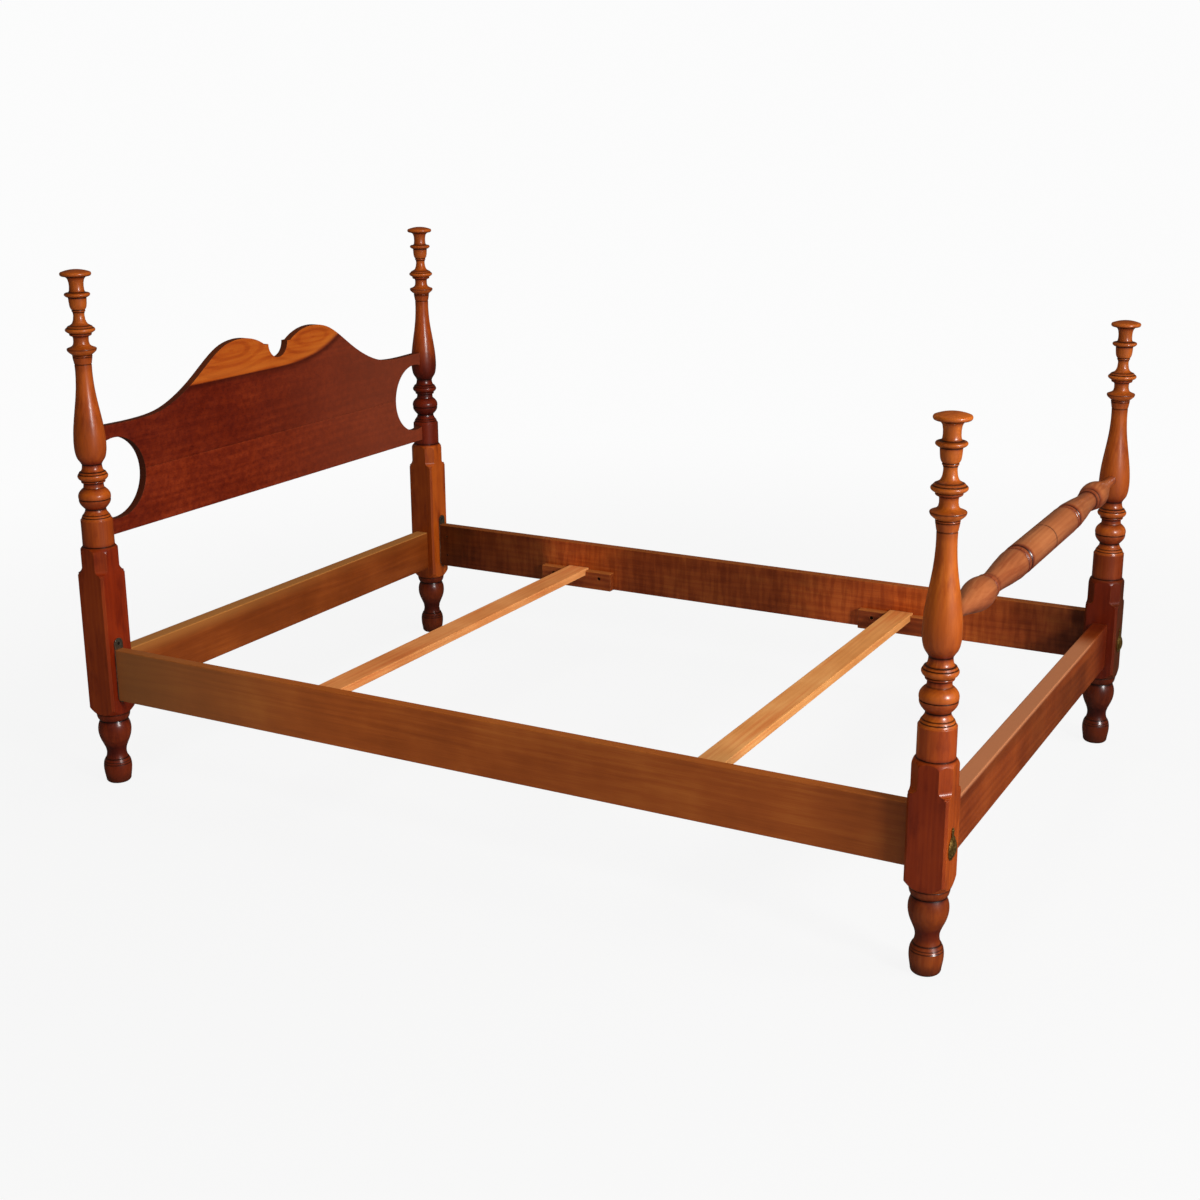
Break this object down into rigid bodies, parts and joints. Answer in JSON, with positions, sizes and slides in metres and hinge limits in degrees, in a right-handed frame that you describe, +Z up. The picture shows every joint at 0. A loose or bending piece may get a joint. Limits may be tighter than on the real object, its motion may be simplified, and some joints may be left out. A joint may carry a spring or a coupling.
{
  "type": "poster bed",
  "caption": "Low-post wooden double bed with turned posts, scrolled notched headboard, turned blanket roll, bolted and hooked side rails, lift-out slats and swinging bolt covers.",
  "frame": {"origin": "on the floor under the middle of the bed", "axes": "+Z up, +Y along the bed towards the headboard, X across the bed with -X on the left seen from the foot"},
  "size_m": [1.446, 2.1294, 1.232],
  "materials": {
    "post_wood": "glossy varnished cherry, darker in the turned grooves",
    "headboard_wood": "satin varnished dark cherry with a paler crest",
    "rail_wood": "satin varnished figured cherry",
    "roll_wood": "satin varnished pinkish cherry",
    "slat_wood": "bare planed softwood, warm orange",
    "cleat_wood": "satin dark stained wood",
    "dowel_wood": "bare birch",
    "plate_steel": "dull worn steel",
    "dark_steel": "blackened steel",
    "antique_brass": "tarnished stamped brass"
  },
  "bodies": {
    "bedstead": {"head_post_left": "post_wood", "head_post_right": "post_wood", "foot_post_left": "post_wood", "foot_post_right": "post_wood", "headboard_upper_board": "headboard_wood", "headboard_lower_board": "headboard_wood", "head_rail": "rail_wood", "foot_rail": "rail_wood", "blanket_roll": "roll_wood", "side_rail_left": "rail_wood", "side_rail_right": "rail_wood", "slat_cleat_head_left": "cleat_wood", "slat_cleat_head_right": "cleat_wood", "slat_cleat_foot_left": "cleat_wood", "slat_cleat_foot_right": "cleat_wood", "cleat_screws": "dark_steel", "post_hook_plate_left": "plate_steel", "post_hook_plate_right": "plate_steel", "post_plate_screws": "dark_steel", "rail_hook_left": "plate_steel", "rail_hook_right": "plate_steel", "rail_hook_pins": "dark_steel", "bed_bolt_left": "dark_steel", "bed_bolt_right": "dark_steel", "bed_bolt_nut_left": "dark_steel", "bed_bolt_nut_right": "dark_steel", "side_rail_dowels": "dowel_wood", "bolt_cover_pin_left": "antique_brass", "bolt_cover_pin_right": "antique_brass"},
    "head_slat": {"slat_head": "slat_wood"},
    "foot_slat": {"slat_foot": "slat_wood"},
    "left_cover": {"bolt_cover_left": "antique_brass"},
    "right_cover": {"bolt_cover_right": "antique_brass"}
  },
  "joints": [
    {"name": "head_slat_lift", "type": "slide", "parent": "bedstead", "child": "head_slat", "axis": [0, 0, 1], "range_m": [0, 0.13]},
    {"name": "foot_slat_lift", "type": "slide", "parent": "bedstead", "child": "foot_slat", "axis": [0, 0, 1], "range_m": [0, 0.13]},
    {"name": "left_cover_swing", "type": "hinge", "parent": "bedstead", "child": "left_cover", "pos_m": [-0.69, -1.05535, 0.299], "axis": [0, 1, 0], "continuous": true},
    {"name": "right_cover_swing", "type": "hinge", "parent": "bedstead", "child": "right_cover", "pos_m": [0.69, -1.05535, 0.299], "axis": [0, 1, 0], "continuous": true}
  ]
}
